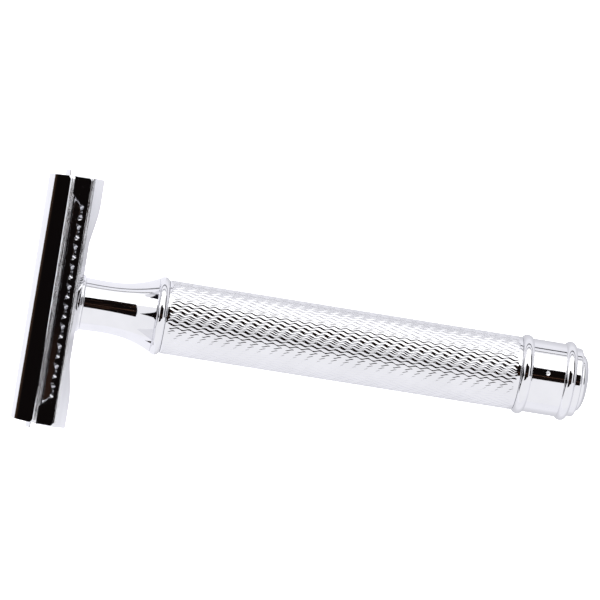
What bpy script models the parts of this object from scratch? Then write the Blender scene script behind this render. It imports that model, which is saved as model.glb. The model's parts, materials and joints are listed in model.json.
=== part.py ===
"""Three-piece double-edge safety razor, stored lying on its guard and pommel.

Every piece is drawn in the razor's own frame, in millimetres: X runs along the handle from the
cap's crown (0) to the pommel's end, Y along the blade, Z across the head. One empty then lays the
razor down, so that the world's floor is z = 0 and +X still points from the head to the pommel.
"""
import math

import bmesh
import bpy
from mathutils import Matrix, Vector

MM = 0.001                      # drawing unit in metres

# Whole razor
TOTAL_LENGTH = 94.0
GAP = 0.02                      # play between two pieces that touch or are pressed together
CUTTER_MARGIN = 1.0             # how far a cutter reaches past what it cuts

# Cap: an elliptical dome over an arched underside, its rim a little wider at the bottom
CAP_LENGTH = 40.9
CAP_HALF_WIDTH = 10.3
CAP_FOOT_HALF_WIDTH = 10.45
CAP_RIM_X = 3.62                # where the dome meets the rim
CAP_CORNER_R = 0.6
DOME_STEPS = 14

# Blade: standard pattern, bent to a shallow arch between cap and seat
BLADE_LENGTH = 43.0
BLADE_HALF_WIDTH = 10.95
BLADE_THICKNESS = 0.10
BLADE_CORNER_R = 0.4
BLADE_EDGE_LENGTH = 37.2
BLADE_TAB_HALF_WIDTH = 6.4
BLADE_CROWN_X = 2.65            # top face of the blade on the razor's axis
BLADE_ARCH = 1.87               # how far the arch falls at ARCH_REACH from the axis
ARCH_REACH = 10.9
ARCH_STEP = 1.1
BEVEL_WIDTH = 0.45
BEVEL_EDGE_PART = 0.2           # thickness left at the cutting edge, as a fraction
BLADE_SLOT_HALF_WIDTH = 0.85
BLADE_SLOT_LENGTH = 33.0
BLADE_SLOT_CORNER_R = 0.8
BLADE_STUD_HOLE_R = 2.75
BLADE_LOBE_R = 1.80

# Base plate
PLATE_LENGTH = 41.1
PLATE_HALF_WIDTH = 13.0
PLATE_CORNER_R = 0.4
SEAT_EDGE_Z = 9.7               # half width of the arched seat between the corner blocks
SEAT_WALL_DRAFT = 0.05
CHANNEL_FLOOR_X = 6.0
CHANNEL_FILLET = 0.3
LIP_INNER_Z = 11.15             # inner wall of the corner blocks and of the guard bars
BLOCK_TOP_X = 4.10
BLOCK_TOP_Z = 11.42             # outer edge of a corner block's top
BLOCK_EDGE = 0.1                # small chamfer on the outer edge of the blocks and bars
BLOCK_GAP_HALF = 17.6           # half the gap between two corner blocks at their tops
BLOCK_END_SLOPE = 1.0           # how much the gap closes per unit of depth
GUARD_TOP_X = 5.50
GUARD_FACE_END_X = 6.78
GUARD_FACE_END_Z = 12.96
LIP_R = 0.28                    # round edge between the guard's face and its chamfer
LIP_CHAMFER_DEG = 38.0          # how far the chamfer's normal leans to the handle
LIP_CHAMFER_END_X = 7.45
LIP_FOOT = (8.05, 11.75)        # where the lip's back meets the hollow under the guard
HOLLOW_END_Z = 5.8
TROUGH_X = 6.50                 # deepest line of the hollow under each guard bar
PLATE_UNDERSIDE_X = 8.10
PLATE_UNDERSIDE_Z = 5.2         # half width of the flat underside round the boss
END_UNDERSIDE_X = 8.97          # the plate is thicker at both ends
END_THICK_Y = 16.6
END_BLEND_Y = 7.5
END_ROOT_X = 6.3                # start of the thick ends, buried deeper than the hollow
END_BLEND_X = 7.9               # depth at which the S-curve dives into the plate
# Leaning long side of the thick ends, (x, z), from its root inside the lip.
END_SIDE = [(END_ROOT_X, 11.5), (7.0, 12.9), (8.72, 10.9), (END_UNDERSIDE_X, 10.3)]
NOTCH_COUNT = 10
NOTCH_PITCH = 3.28
NOTCH_R = 1.27
NOTCH_AXIS_INNER_X = 4.80       # notch axis over the guard's inner wall
NOTCH_AXIS_OUTER_X = 5.45       # and over its outer edge
NOTCH_SIDES = 20
BOSS_ROOT_X = 7.0
BOSS_FOOT_R = 5.60
BOSS_FILLET = 0.25
BOSS_R = 4.80
BOSS_END_X = 8.80
STUD_HOLE_R = 2.70
POST_HOLE_R = 1.10

# Cap furniture
STUD_SOCKET_X = 1.20
STUD_ROOT_LENGTH = 1.2          # plain root below the cap
STUD_RUNOUT = 0.33              # how far the thread starts inside the plain root
STUD_TIP_X = 16.4
STUD_TIP_CHAMFER = 0.6
POST_R = 1.00
POST_Y = 12.75
POST_SOCKET_X = 1.70
POST_TIP_X = 8.60
POST_CHAMFER = 0.3
SOCKET_END_X = 4.5              # below the cap's underside
PIN_SEGMENTS = 16

# M5 x 0.8 thread
PITCH = 0.80
STUD_ROOT_R = 2.50
STUD_MAJOR_R = 2.46
STUD_MINOR_R = 2.00
THREAD_PLAY = 0.09
THREAD_HALF_ANGLE = 30.0
THREAD_SEGMENTS = 16
ROOT_FLAT = 0.20
THREAD_ENTRY_DEPTH = 0.45
THREAD_ENTRY_FLARE = 1.2

# Handle, from the head to the end
NECK_START_X = BOSS_END_X + GAP
NECK_END_R = 4.41
NECK_EDGE = 0.12
NECK_SWELL = [(9.9, 0.06), (10.9, 0.02)]        # (x, what is left of the swell above the waist)
NECK_WAIST_X = 12.0
NECK_WAIST_R = 4.31
FLARE_END_X = 20.88
FLARE_END_R = 6.20
FLARE_POWER = 2.5
FLARE_STEPS = 14
COLLAR_END_X = 22.62
COLLAR_PEAK_R = 6.56
COLLAR_FOOT_R = FLARE_END_R - 0.12
THREAD_BORE_END_X = 18.4
THREAD_BORE_TIP = 0.8
GRIP_R = 6.15
GRIP_BORE_R = 5.25
GRIP_EDGE = 0.15
SPIGOT_R = GRIP_BORE_R - GAP
SPIGOT_LENGTH = 8.0
SPIGOT_CHAMFER = 0.5
NECK_CORE_R = 3.6               # lightening bore in the neck's spigot
NECK_CORE_END_X = 20.4
NECK_CORE_CONE = 0.6
SLEEVE_CORE_R = 4.0
GRIP_END_X = 82.25
BEAD_A_END_X = 84.10
BEAD_A_PEAK_R = 6.67
BAND_R = 6.18
BEAD_FOOT_R = BAND_R - 0.02
BEAD_B_X = 89.65
BEAD_B_END_X = 91.40
BEAD_B_PEAK_R = 6.65
BUTTON_R = 5.78
BUTTON_STEP_X = 92.65
BUTTON_EDGE = 0.1
BUTTON_ROUND = 0.45
DOME_R = 4.80
DOME_POWER = 2.4
DOME_FLAT_R = 2.6
BUTTON_BORE_R = 3.00
BUTTON_SPIGOT_LENGTH = 5.5
BUTTON_SPIGOT_CHAMFER = 0.4
BORE_RELIEF = 0.3               # bore left free beyond the button's spigot
BORE_CONE = 1.0

SEGMENTS = 48                   # facets round the handle

# Lying pose: the guard's lower lip and the last bead touch the floor
LIP_CONTACT = (GUARD_FACE_END_X + 0.5 * LIP_R, PLATE_HALF_WIDTH)
BEAD_CONTACT = (0.5 * (BEAD_B_X + BEAD_B_END_X), BEAD_B_PEAK_R)

CHROME = ("chrome", (0.86, 0.86, 0.88), 1.0, 0.06)
CHASED = ("chased_chrome", (0.86, 0.86, 0.88), 1.0, 0.10)
STEEL = ("blade_steel", (0.70, 0.71, 0.73), 1.0, 0.22)
SCREW = ("plated_screw", (0.78, 0.78, 0.80), 1.0, 0.18)


# ---------------------------------------------------------------- scene and materials

def clear_scene():
    for obj in list(bpy.data.objects):
        bpy.data.objects.remove(obj, do_unlink=True)


def material(spec):
    name, color, metallic, roughness = spec
    mat = bpy.data.materials.get(name) or bpy.data.materials.new(name)
    mat.use_nodes = True
    shader = mat.node_tree.nodes["Principled BSDF"]
    shader.inputs["Base Color"].default_value = (*color, 1.0)
    shader.inputs["Metallic"].default_value = metallic
    shader.inputs["Roughness"].default_value = roughness
    return mat


def empty(name, parent=None):
    """An empty on the razor's axis, at the cap's crown."""
    obj = bpy.data.objects.new(name, None)
    obj.empty_display_size = 10 * MM
    bpy.context.scene.collection.objects.link(obj)
    obj.parent = parent
    return obj


# ---------------------------------------------------------------- mesh helpers (millimetres)

def body(verts, faces):
    """A temporary object in millimetres, with its faces turned outwards."""
    mesh = bpy.data.meshes.new("body")
    mesh.from_pydata([tuple(v) for v in verts], [], faces)
    bm = bmesh.new()
    bm.from_mesh(mesh)
    bmesh.ops.recalc_face_normals(bm, faces=bm.faces)
    bm.to_mesh(mesh)
    bm.free()
    obj = bpy.data.objects.new("body", mesh)
    bpy.context.scene.collection.objects.link(obj)
    return obj


def tube_faces(count):
    """Faces between two rings of count points each, and over both ends."""
    faces = [tuple(range(count)), tuple(range(count, 2 * count))]
    for k in range(count):
        j = (k + 1) % count
        faces.append((k, j, count + j, count + k))
    return faces


def revolve(outline, segments=SEGMENTS):
    """Spin (x, r) points round X. An outline that starts and ends at r = 0 is solid;
    any other outline is a closed ring section."""
    verts, rings = [], []
    for x, r in outline:
        if r <= 0.0:
            rings.append([len(verts)] * segments)
            verts.append((x, 0.0, 0.0))
            continue
        rings.append(list(range(len(verts), len(verts) + segments)))
        for k in range(segments):
            angle = 2 * math.pi * k / segments
            verts.append((x, r * math.cos(angle), r * math.sin(angle)))
    pairs = list(zip(rings, rings[1:]))
    if outline[0][1] > 0.0:
        pairs.append((rings[-1], rings[0]))
    faces = []
    for a, b in pairs:
        for k in range(segments):
            j = (k + 1) % segments
            quad = [a[k], a[j], b[j], b[k]]
            faces.append(tuple(dict.fromkeys(quad)))
    return body(verts, faces)


def prism(outline, low, high, place):
    """Extrude a 2-D outline from low to high; place(u, v, w) gives the point in space."""
    verts = [place(u, v, w) for w in (low, high) for u, v in outline]
    return body(verts, tube_faces(len(outline)))


def along_y(u, v, w):
    return (u, w, v)            # outline in (x, z)


def along_x(u, v, w):
    return (w, u, v)            # outline in (y, z)


def along_z(u, v, w):
    return (u, v, w)            # outline in (x, y)


def rod(x0, x1, r, y=0.0, segments=24):
    """A plain cylinder parallel to X."""
    ring = []
    for k in range(segments):
        angle = 2 * math.pi * k / segments
        ring.append((y + r * math.cos(angle), r * math.sin(angle)))
    return prism(ring, x0, x1, along_x)


def combine(target, tool, operation):
    """Exact Boolean of two temporary objects; the tool is used up."""
    mod = target.modifiers.new("combine", "BOOLEAN")
    mod.operation = operation
    mod.solver = "EXACT"
    mod.object = tool
    graph = bpy.context.evaluated_depsgraph_get()
    result = bpy.data.meshes.new_from_object(target.evaluated_get(graph))
    target.modifiers.clear()
    target.data = result
    bpy.data.objects.remove(tool, do_unlink=True)
    return target


def finish(obj, name, spec, parent, sharp_deg=32.0):
    """Scale a drawn body to metres, free it of edges that Booleans left without a face, and
    hang it on its parent; its origin is on the axis."""
    mesh = obj.data
    mesh.transform(Matrix.Scale(MM, 4))
    bm = bmesh.new()
    bm.from_mesh(mesh)
    bmesh.ops.remove_doubles(bm, verts=bm.verts, dist=0.002 * MM)
    bmesh.ops.dissolve_limit(bm, angle_limit=math.radians(0.05), verts=bm.verts, edges=bm.edges)
    wires = [edge for edge in bm.edges if not edge.link_faces]
    bmesh.ops.delete(bm, geom=wires, context="EDGES")
    bmesh.ops.triangulate(bm, faces=[f for f in bm.faces if len(f.verts) > 4])
    bmesh.ops.recalc_face_normals(bm, faces=bm.faces)
    bm.to_mesh(mesh)
    bm.free()
    mesh.materials.clear()
    mesh.materials.append(material(spec))
    mesh.shade_smooth()
    mesh.set_sharp_from_angle(angle=math.radians(sharp_deg))
    mesh.name = name
    obj.name = name
    obj.parent = parent
    return obj


# ---------------------------------------------------------------- curves

def arch_x(z):
    """Top face of the bent blade, z from the razor's axis."""
    return BLADE_CROWN_X + BLADE_ARCH * (z / ARCH_REACH) ** 2


def arch_on_facets(z):
    """The arch as the cap's and the seat's facets draw it, so that the blade fits between them."""
    size = abs(z)
    low = math.floor(size / ARCH_STEP + 1e-9) * ARCH_STEP
    high = low + ARCH_STEP
    if high > ARCH_REACH:
        return arch_x(size)
    part = (size - low) / ARCH_STEP
    return arch_x(low) * (1 - part) + arch_x(high) * part


def arch(z_end, offset):
    """Points (x, z) of the arch from -z_end to z_end, moved by offset along X. Inner points sit
    on common stations, so that neighbouring pieces have matching facets."""
    count = int(z_end / ARCH_STEP)
    inner = [k * ARCH_STEP for k in range(-count, count + 1)]
    return [(arch_x(z) + offset, z) for z in [-z_end] + inner + [z_end]]


def arc(u0, u1, foot, peak, steps=8):
    """Circular arc from (u0, foot) over its middle, which lies at peak, to (u1, foot)."""
    half, rise = 0.5 * (u1 - u0), peak - foot
    radius = (half * half + rise * rise) / (2 * rise)
    reach = math.asin(half / radius)
    points = []
    for k in range(steps + 1):
        angle = reach * (2.0 * k / steps - 1.0)
        points.append((u0 + half + radius * math.sin(angle), peak - radius * (1 - math.cos(angle))))
    return points


def rounded_box(half_u, half_v, corner, steps=4):
    points = []
    for su, sv, start in ((1, 1, 0), (-1, 1, 90), (-1, -1, 180), (1, -1, 270)):
        for k in range(steps + 1):
            angle = math.radians(start + 90.0 * k / steps)
            points.append((su * (half_u - corner) + corner * math.cos(angle),
                           sv * (half_v - corner) + corner * math.sin(angle)))
    return points


def thread(x0, turns, major, minor):
    """A right-hand helical thread round X whose root starts at angle 0 at x0."""
    rise = (major - minor) * math.tan(math.radians(THREAD_HALF_ANGLE))
    profile = [(0.0, minor), (ROOT_FLAT, minor), (ROOT_FLAT + rise, major), (PITCH - rise, major)]
    steps, count = THREAD_SEGMENTS * turns, len(profile)
    verts = []
    for k in range(steps + THREAD_SEGMENTS + 1):
        angle = 2 * math.pi * k / THREAD_SEGMENTS
        x = x0 + PITCH * k / THREAD_SEGMENTS
        for dx, r in profile if k <= steps else profile[:1]:
            verts.append((x + dx, r * math.cos(angle), r * math.sin(angle)))

    def index(k, j):
        if j == count:
            k, j = k + THREAD_SEGMENTS, 0
        return k * count + j if k <= steps else (steps + 1) * count + (k - steps - 1)

    faces = []
    for k in range(steps):
        for j in range(count):
            faces.append((index(k, j), index(k + 1, j), index(k + 1, j + 1), index(k, j + 1)))
    first = [index(k, 0) for k in range(THREAD_SEGMENTS + 1)]
    first += [index(0, j) for j in range(count - 1, 0, -1)]
    last = [index(steps, j) for j in range(count)]
    last += [index(steps + k, 0) for k in range(THREAD_SEGMENTS, 0, -1)]
    for loop, x in ((first, x0), (last, x0 + PITCH * (turns + 1))):
        hub = len(verts)
        verts.append((x, 0.0, 0.0))
        faces += [(loop[k], loop[(k + 1) % len(loop)], hub) for k in range(len(loop))]
    return body(verts, faces)


# ---------------------------------------------------------------- cap with its stud and posts

def make_cap(parent):
    height = CAP_RIM_X / (1 - math.sqrt(1 - (CAP_HALF_WIDTH / ARCH_REACH) ** 2))
    dome = []
    for k in range(-DOME_STEPS, DOME_STEPS + 1):
        z = CAP_HALF_WIDTH * math.sin(0.5 * math.pi * k / DOME_STEPS)
        dome.append((height * (1 - math.sqrt(1 - (z / ARCH_REACH) ** 2)), z))
    outline = dome + arch(CAP_FOOT_HALF_WIDTH, -GAP)[::-1]
    cap = prism(outline, -0.5 * CAP_LENGTH, 0.5 * CAP_LENGTH, along_y)
    plan = rounded_box(0.5 * CAP_LENGTH, CAP_FOOT_HALF_WIDTH + 0.001, CAP_CORNER_R)
    combine(cap, prism(plan, -CUTTER_MARGIN, SOCKET_END_X + CUTTER_MARGIN, along_x), "INTERSECT")
    stud_socket = rod(STUD_SOCKET_X - GAP, SOCKET_END_X, STUD_ROOT_R + GAP, 0.0, 2 * THREAD_SEGMENTS)
    combine(cap, stud_socket, "DIFFERENCE")
    for side in (1, -1):
        socket = rod(POST_SOCKET_X - GAP, SOCKET_END_X, POST_R + GAP, side * POST_Y, PIN_SEGMENTS)
        combine(cap, socket, "DIFFERENCE")
    return finish(cap, "cap", CHROME, parent)


def make_stud(parent):
    """Plain root in the cap, M5 thread below, chamfered tip."""
    root_end = arch_x(0) + STUD_ROOT_LENGTH
    stud = revolve([(STUD_SOCKET_X, 0.0), (STUD_SOCKET_X, STUD_ROOT_R),
                    (root_end, STUD_ROOT_R), (root_end, 0.0)], 2 * THREAD_SEGMENTS)
    turns = math.ceil((STUD_TIP_X - arch_x(0)) / PITCH) + 1
    screw = thread(arch_x(0), turns, STUD_MAJOR_R, STUD_MINOR_R)
    wide = STUD_MAJOR_R + 0.1
    start = root_end - STUD_RUNOUT
    hull = revolve([(start, 0.0), (start, wide), (STUD_TIP_X - STUD_TIP_CHAMFER, wide),
                    (STUD_TIP_X, STUD_MINOR_R - 0.2), (STUD_TIP_X, 0.0)], 2 * THREAD_SEGMENTS)
    combine(screw, hull, "INTERSECT")
    combine(stud, screw, "UNION")
    return finish(stud, "cap_stud", SCREW, parent, sharp_deg=40)


def make_post(name, side, parent):
    """Locating pin with a chamfered tip."""
    post = revolve([(POST_SOCKET_X, 0.0), (POST_SOCKET_X, POST_R), (POST_TIP_X - POST_CHAMFER, POST_R),
                    (POST_TIP_X, POST_R - POST_CHAMFER), (POST_TIP_X, 0.0)], PIN_SEGMENTS)
    post.data.transform(Matrix.Translation((0.0, side * POST_Y, 0.0)))
    return finish(post, name, CHROME, parent)


# ---------------------------------------------------------------- blade

def make_blade(parent):
    """Cut flat with its slot and corner notches, then bent to the arch."""
    sheet = prism(rounded_box(0.5 * BLADE_LENGTH, BLADE_HALF_WIDTH, BLADE_CORNER_R),
                  0.0, BLADE_THICKNESS, along_x)
    low, high = -CUTTER_MARGIN, BLADE_THICKNESS + CUTTER_MARGIN
    y0, y1 = 0.5 * BLADE_EDGE_LENGTH, 0.5 * BLADE_LENGTH + CUTTER_MARGIN
    z0, z1 = BLADE_TAB_HALF_WIDTH, BLADE_HALF_WIDTH + CUTTER_MARGIN
    for sy in (1, -1):
        for sz in (1, -1):
            step = [(sy * y0, sz * z0), (sy * y1, sz * z0), (sy * y1, sz * z1), (sy * y0, sz * z1)]
            combine(sheet, prism(step, low, high, along_x), "DIFFERENCE")
        combine(sheet, rod(low, high, BLADE_LOBE_R, sy * POST_Y, 20), "DIFFERENCE")
    slot = rounded_box(0.5 * BLADE_SLOT_LENGTH, BLADE_SLOT_HALF_WIDTH, BLADE_SLOT_CORNER_R)
    combine(sheet, prism(slot, low, high, along_x), "DIFFERENCE")
    combine(sheet, rod(low, high, BLADE_STUD_HOLE_R, 0.0, 32), "DIFFERENCE")
    bend(sheet.data)
    return finish(sheet, "blade", STEEL, parent)


def bend(mesh):
    """Split the flat sheet along the arch's stations, thin its edges and lay it on the arch."""
    bm = bmesh.new()
    bm.from_mesh(mesh)
    bevel_start = BLADE_HALF_WIDTH - BEVEL_WIDTH
    count = int(bevel_start / ARCH_STEP)
    for z in [k * ARCH_STEP for k in range(-count, count + 1)] + [bevel_start, -bevel_start]:
        bmesh.ops.bisect_plane(bm, geom=bm.verts[:] + bm.edges[:] + bm.faces[:], dist=1e-5,
                               plane_co=(0, 0, z), plane_no=(0, 0, 1))
    bmesh.ops.triangulate(bm, faces=bm.faces[:])
    middle = 0.5 * BLADE_THICKNESS
    for vert in bm.verts:
        along_bevel = max(0.0, (abs(vert.co.z) - bevel_start) / BEVEL_WIDTH)
        thickness = 1.0 - along_bevel * (1.0 - BEVEL_EDGE_PART)
        vert.co.x = middle + (vert.co.x - middle) * thickness + arch_on_facets(vert.co.z)
    bm.to_mesh(mesh)
    bm.free()


# ---------------------------------------------------------------- base plate

def face_z(x):
    """Outer face of the corner blocks and guard bars."""
    part = (x - BLOCK_TOP_X) / (GUARD_FACE_END_X - BLOCK_TOP_X)
    return BLOCK_TOP_Z + part * (GUARD_FACE_END_Z - BLOCK_TOP_Z)


def lip(steps=5):
    """Round edge at the end of the guard's face, then a chamfer that leans to the handle."""
    face_deg = -math.degrees(math.atan2(GUARD_FACE_END_Z - BLOCK_TOP_Z, GUARD_FACE_END_X - BLOCK_TOP_X))
    centre_x = GUARD_FACE_END_X - LIP_R * math.sin(math.radians(face_deg))
    centre_z = GUARD_FACE_END_Z - LIP_R * math.cos(math.radians(face_deg))
    points = []
    for k in range(steps + 1):
        angle = math.radians(face_deg + (LIP_CHAMFER_DEG - face_deg) * k / steps)
        points.append((centre_x + LIP_R * math.sin(angle), centre_z + LIP_R * math.cos(angle)))
    x, z = points[-1]
    fall = (LIP_CHAMFER_END_X - x) * math.tan(math.radians(LIP_CHAMFER_DEG))
    return points + [(LIP_CHAMFER_END_X, z - fall)]


def plate_section():
    """Outline (x, z) of the plate at its ends, where the corner blocks stand."""
    seat = arch(LIP_INNER_Z, BLADE_THICKNESS + GAP)
    half = [(BLOCK_TOP_X, LIP_INNER_Z), (BLOCK_TOP_X, BLOCK_TOP_Z - BLOCK_EDGE),
            (BLOCK_TOP_X + BLOCK_EDGE, face_z(BLOCK_TOP_X + BLOCK_EDGE))]
    half += lip()
    foot_x, foot_z = LIP_FOOT
    half += [(x, z) for z, x in arc(foot_z, HOLLOW_END_Z, foot_x, TROUGH_X)]
    half.append((PLATE_UNDERSIDE_X, PLATE_UNDERSIDE_Z))
    other = [(x, -z) for x, z in half]
    return seat + half + other[::-1]


def window(side):
    """Opens the gap between two corner blocks: the lather channel and the guard bar's top."""
    above, outside = BLOCK_TOP_X - CUTTER_MARGIN, PLATE_HALF_WIDTH + CUTTER_MARGIN
    wall_z = SEAT_EDGE_Z + SEAT_WALL_DRAFT
    section = [(above, SEAT_EDGE_Z), (CHANNEL_FLOOR_X - CHANNEL_FILLET, wall_z),
               (CHANNEL_FLOOR_X, wall_z + CHANNEL_FILLET), (CHANNEL_FLOOR_X, LIP_INNER_Z - CHANNEL_FILLET),
               (GUARD_TOP_X + BLOCK_EDGE, LIP_INNER_Z), (GUARD_TOP_X, LIP_INNER_Z + BLOCK_EDGE),
               (GUARD_TOP_X, outside), (above, outside)]
    verts = []
    for end in (-1, 1):
        for x, z in section:
            reach = BLOCK_GAP_HALF - BLOCK_END_SLOPE * (x - BLOCK_TOP_X)
            verts.append((x, end * reach, side * z))
    return body(verts, tube_faces(len(section)))


def notch(y, side):
    """A round cutter that runs outwards and slightly down over the guard bar."""
    slope = (NOTCH_AXIS_OUTER_X - NOTCH_AXIS_INNER_X) / (PLATE_HALF_WIDTH - LIP_INNER_Z)
    verts = []
    for z in (LIP_INNER_Z - CHANNEL_FILLET, PLATE_HALF_WIDTH + CUTTER_MARGIN):
        axis_x = NOTCH_AXIS_INNER_X + slope * (z - LIP_INNER_Z)
        for k in range(NOTCH_SIDES):
            angle = 2 * math.pi * (k + 0.5) / NOTCH_SIDES
            verts.append((axis_x + NOTCH_R * math.cos(angle), y + NOTCH_R * math.sin(angle), side * z))
    return body(verts, tube_faces(NOTCH_SIDES))


def thick_end(side, steps=6):
    """The deeper end of the plate, blended into the underside with an S-curve."""
    outer = 0.5 * PLATE_LENGTH + CUTTER_MARGIN
    outline = [(END_ROOT_X, outer), (END_UNDERSIDE_X, outer)]
    for k in range(steps + 1):
        part = k / steps
        blend = 0.5 - 0.5 * math.cos(math.pi * part)
        outline.append((END_UNDERSIDE_X - blend * (END_UNDERSIDE_X - END_BLEND_X),
                        END_THICK_Y - part * (END_THICK_Y - END_BLEND_Y)))
    outline.append((END_ROOT_X, END_BLEND_Y))
    block = prism([(x, side * y) for x, y in outline], -PLATE_HALF_WIDTH, PLATE_HALF_WIDTH, along_z)
    shape = END_SIDE + [(x, -z) for x, z in END_SIDE[::-1]]
    reach = outer + CUTTER_MARGIN
    return combine(block, prism(shape, -reach, reach, along_y), "INTERSECT")


def boss():
    """Round pad under the plate on which the neck sits."""
    return revolve([(BOSS_ROOT_X, 0.0), (BOSS_ROOT_X, BOSS_FOOT_R + BOSS_FILLET),
                    (PLATE_UNDERSIDE_X, BOSS_FOOT_R),
                    (PLATE_UNDERSIDE_X + 0.5 * BOSS_FILLET, BOSS_R + BOSS_FILLET),
                    (PLATE_UNDERSIDE_X + 1.4 * BOSS_FILLET, BOSS_R), (BOSS_END_X, BOSS_R - 0.05),
                    (BOSS_END_X, 0.0)])


def make_base_plate(parent):
    half = 0.5 * PLATE_LENGTH
    low, high = BLADE_CROWN_X - CUTTER_MARGIN, END_UNDERSIDE_X + CUTTER_MARGIN
    plate = prism(plate_section(), -half, half, along_y)
    for end in (1, -1):
        combine(plate, thick_end(end), "UNION")
    combine(plate, boss(), "UNION")
    plan = rounded_box(half - 0.001, PLATE_HALF_WIDTH + 0.01, PLATE_CORNER_R)
    combine(plate, prism(plan, low, high, along_x), "INTERSECT")
    first = -0.5 * (NOTCH_COUNT - 1) * NOTCH_PITCH
    for side in (1, -1):
        combine(plate, window(side), "DIFFERENCE")
        for k in range(NOTCH_COUNT):
            combine(plate, notch(first + k * NOTCH_PITCH, side), "DIFFERENCE")
        post_hole = rod(low, high, POST_HOLE_R, side * POST_Y, PIN_SEGMENTS)
        combine(plate, post_hole, "DIFFERENCE")
    combine(plate, rod(low, high, STUD_HOLE_R, 0.0, 2 * THREAD_SEGMENTS), "DIFFERENCE")
    return finish(plate, "base_plate", CHROME, parent)


# ---------------------------------------------------------------- handle

def neck_outline():
    """Waist, flare, collar bead and the spigot with its lightening bore."""
    outline = [(NECK_START_X, 0.0), (NECK_START_X, NECK_END_R - NECK_EDGE),
               (NECK_START_X + NECK_EDGE, NECK_END_R)]
    outline += [(x, NECK_WAIST_R + swell) for x, swell in NECK_SWELL]
    for k in range(FLARE_STEPS + 1):
        part = k / FLARE_STEPS
        outline.append((NECK_WAIST_X + part * (FLARE_END_X - NECK_WAIST_X),
                        NECK_WAIST_R + (FLARE_END_R - NECK_WAIST_R) * part ** FLARE_POWER))
    outline += arc(FLARE_END_X + GAP, COLLAR_END_X, COLLAR_FOOT_R, COLLAR_PEAK_R)
    end = COLLAR_END_X + SPIGOT_LENGTH
    outline += [(COLLAR_END_X, SPIGOT_R), (end - SPIGOT_CHAMFER, SPIGOT_R), (end, SPIGOT_R - SPIGOT_CHAMFER),
                (end, NECK_CORE_R), (NECK_CORE_END_X, NECK_CORE_R), (NECK_CORE_END_X - NECK_CORE_CONE, 0.0)]
    return outline


def make_neck(parent):
    neck = revolve(neck_outline())
    major, minor = STUD_MAJOR_R + THREAD_PLAY, STUD_MINOR_R + THREAD_PLAY
    turns = math.ceil((THREAD_BORE_END_X - arch_x(0)) / PITCH) + 1
    tap = thread(arch_x(0), turns, major, minor)
    wide, start = major + 0.1, NECK_START_X - CUTTER_MARGIN
    sweep = revolve([(start, 0.0), (start, wide), (THREAD_BORE_END_X - STUD_TIP_CHAMFER, wide),
                     (THREAD_BORE_END_X, STUD_MINOR_R), (THREAD_BORE_END_X + THREAD_BORE_TIP, 0.0)],
                    2 * THREAD_SEGMENTS)
    combine(tap, sweep, "INTERSECT")
    combine(neck, tap, "DIFFERENCE")
    entry_end = NECK_START_X + THREAD_ENTRY_DEPTH
    mouth = revolve([(start, 0.0), (start, wide + THREAD_ENTRY_FLARE), (entry_end, STUD_MINOR_R),
                     (entry_end, 0.0)], 2 * THREAD_SEGMENTS)
    combine(neck, mouth, "DIFFERENCE")
    return finish(neck, "neck", CHROME, parent)


def make_grip(parent):
    x0, x1 = COLLAR_END_X + GAP, GRIP_END_X - GAP
    outline = [(x0, GRIP_R - GRIP_EDGE), (x0 + GRIP_EDGE, GRIP_R), (x1 - GRIP_EDGE, GRIP_R),
               (x1, GRIP_R - GRIP_EDGE), (x1, GRIP_BORE_R), (x0, GRIP_BORE_R)]
    return finish(revolve(outline), "grip_tube", CHASED, parent)


def make_sleeve(parent):
    spigot_x = GRIP_END_X - SPIGOT_LENGTH
    bore_end = BEAD_B_END_X - BUTTON_SPIGOT_LENGTH - BORE_RELIEF
    outline = [(spigot_x, SPIGOT_R - SPIGOT_CHAMFER), (spigot_x + SPIGOT_CHAMFER, SPIGOT_R),
               (GRIP_END_X, SPIGOT_R)]
    outline += arc(GRIP_END_X, BEAD_A_END_X, BEAD_FOOT_R, BEAD_A_PEAK_R)
    outline += [(BEAD_A_END_X + GAP, BAND_R), (BEAD_B_X - GAP, BAND_R)]
    outline += arc(BEAD_B_X, BEAD_B_END_X, BEAD_FOOT_R, BEAD_B_PEAK_R)
    outline += [(BEAD_B_END_X, BUTTON_BORE_R), (bore_end, BUTTON_BORE_R),
                (bore_end - BORE_CONE, SLEEVE_CORE_R), (spigot_x, SLEEVE_CORE_R)]
    return finish(revolve(outline), "pommel_sleeve", CHROME, parent)


def make_button(parent):
    """Pressed spigot, short cylinder with a round edge, and a flattened dome."""
    start, spigot_x = BEAD_B_END_X + GAP, BEAD_B_END_X - BUTTON_SPIGOT_LENGTH
    spigot_r = BUTTON_BORE_R - GAP
    outline = [(spigot_x, 0.0), (spigot_x, spigot_r - BUTTON_SPIGOT_CHAMFER),
               (spigot_x + BUTTON_SPIGOT_CHAMFER, spigot_r), (start, spigot_r),
               (start, BUTTON_R - BUTTON_EDGE), (start + BUTTON_EDGE, BUTTON_R)]
    round_steps, dome_steps = 4, 7
    for k in range(round_steps + 1):
        angle = 0.5 * math.pi * k / round_steps
        outline.append((BUTTON_STEP_X - BUTTON_ROUND * (1 - math.sin(angle)),
                        BUTTON_R - BUTTON_ROUND * (1 - math.cos(angle))))
    outline.append((BUTTON_STEP_X, DOME_R + GAP))
    depth = TOTAL_LENGTH - BUTTON_STEP_X
    flat_part = (1 - (DOME_FLAT_R / DOME_R) ** DOME_POWER) ** (1 / DOME_POWER)
    for k in range(1, dome_steps + 1):
        rise = math.sin(0.5 * math.pi * k / dome_steps)
        radius = DOME_R * (1 - (flat_part * rise) ** DOME_POWER) ** (1 / DOME_POWER)
        outline.append((BUTTON_STEP_X + depth * rise, radius))
    outline.append((TOTAL_LENGTH, 0.0))
    return finish(revolve(outline), "pommel_button", CHROME, parent)


# ---------------------------------------------------------------- pose

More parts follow.
